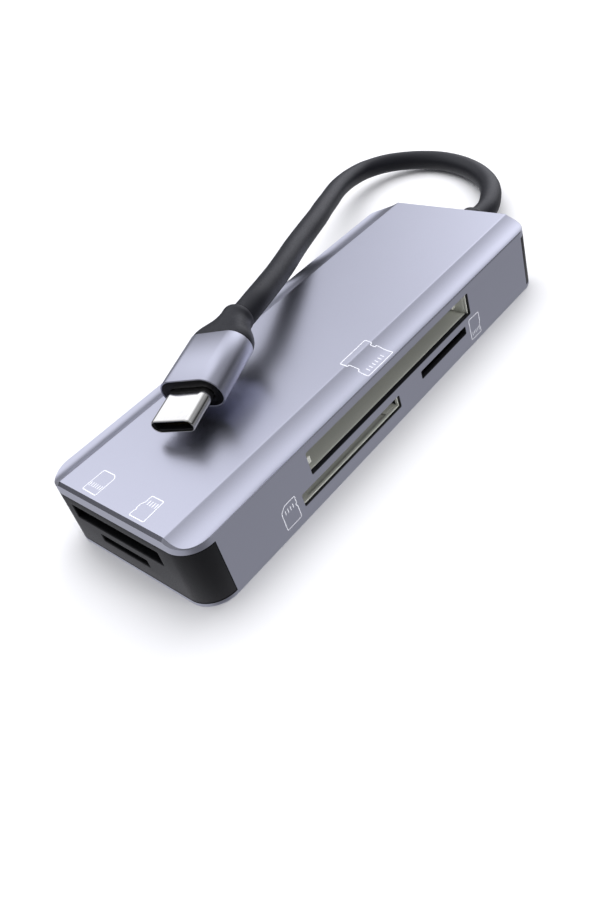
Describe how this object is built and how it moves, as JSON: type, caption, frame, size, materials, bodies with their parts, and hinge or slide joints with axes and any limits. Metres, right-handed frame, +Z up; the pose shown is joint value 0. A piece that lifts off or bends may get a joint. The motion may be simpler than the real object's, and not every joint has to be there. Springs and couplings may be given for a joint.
{
  "type": "usb hub",
  "caption": "Slim rounded bar card-reader hub, fluted aluminium housing, slots for memory cards in one end and one side, short captive lead ending in a flat reversible plug.",
  "frame": {"origin": "centre of the body's underside, without the lead and its plug", "axes": "+Z up out of the top face, +Y along the body towards the end that the lead leaves from, +X towards the long side with the card slots"},
  "size_m": [0.0631, 0.1302, 0.0216],
  "materials": {
    "aluminium": "bead-blasted and anodised space grey, satin",
    "cap_plastic": "satin black",
    "jacket": "matte charcoal elastomer",
    "plug_steel": "polished stainless steel",
    "ivory_plastic": "satin",
    "black_plastic": "satin",
    "contact_gold": "gold plated",
    "sheet_steel": "bright tinned",
    "laminate": "green solder mask",
    "chip_resin": "matte moulding resin",
    "ceramic": "fired ceramic",
    "tantalum": "yellow moulding resin",
    "wire_red": "satin",
    "wire_white": "satin",
    "wire_green": "satin",
    "wire_black": "satin"
  },
  "bodies": {
    "hub": {"bulk_capacitor": "tantalum", "cable": "jacket", "ceramic_capacitor_1": "ceramic", "ceramic_capacitor_2": "ceramic", "ceramic_capacitor_3": "ceramic", "ceramic_capacitor_4": "ceramic", "cf_frame": "ivory_plastic", "cf_header": "ivory_plastic", "cf_pins_lower": "contact_gold", "cf_pins_upper": "contact_gold", "controller_chip": "chip_resin", "crystal": "sheet_steel", "firmware_chip": "chip_resin", "front_cap": "cap_plastic", "housing": "aluminium", "m2_contacts": "contact_gold", "m2_shell": "sheet_steel", "m2_tray": "black_plastic", "main_board": "laminate", "ms_contacts": "contact_gold", "ms_shell": "sheet_steel", "ms_tray": "black_plastic", "plug_board": "laminate", "plug_contacts_lower": "contact_gold", "plug_contacts_upper": "contact_gold", "plug_inner_mould": "jacket", "plug_lining": "black_plastic", "plug_neck": "jacket", "plug_nose": "black_plastic", "plug_shell": "plug_steel", "plug_sleeve": "aluminium", "power_inductor": "chip_resin", "rear_cap": "cap_plastic", "sd_contacts": "contact_gold", "sd_cover": "ivory_plastic", "sd_tray": "black_plastic", "strain_relief": "jacket", "tf_contacts": "contact_gold", "tf_shell": "sheet_steel", "tf_tray": "black_plastic", "voltage_regulator": "chip_resin", "wire_black": "wire_black", "wire_green": "wire_green", "wire_red": "wire_red", "wire_white": "wire_white"},
    "ms_lever": {"ms_detect_lever": "sheet_steel"},
    "sd_lever": {"sd_detect_lever": "sheet_steel"}
  },
  "joints": [
    {"name": "ms_detect", "type": "hinge", "parent": "hub", "child": "ms_lever", "pos_m": [0.01017, -0.0291, 0.00762], "axis": [0, 0, 1], "range_deg": [0, 16], "stiffness_Nm_per_rad": 0.002},
    {"name": "sd_detect", "type": "hinge", "parent": "hub", "child": "sd_lever", "pos_m": [-0.0033, -0.02519, 0.0035], "axis": [0, 0, -1], "range_deg": [0, 16], "stiffness_Nm_per_rad": 0.002}
  ]
}
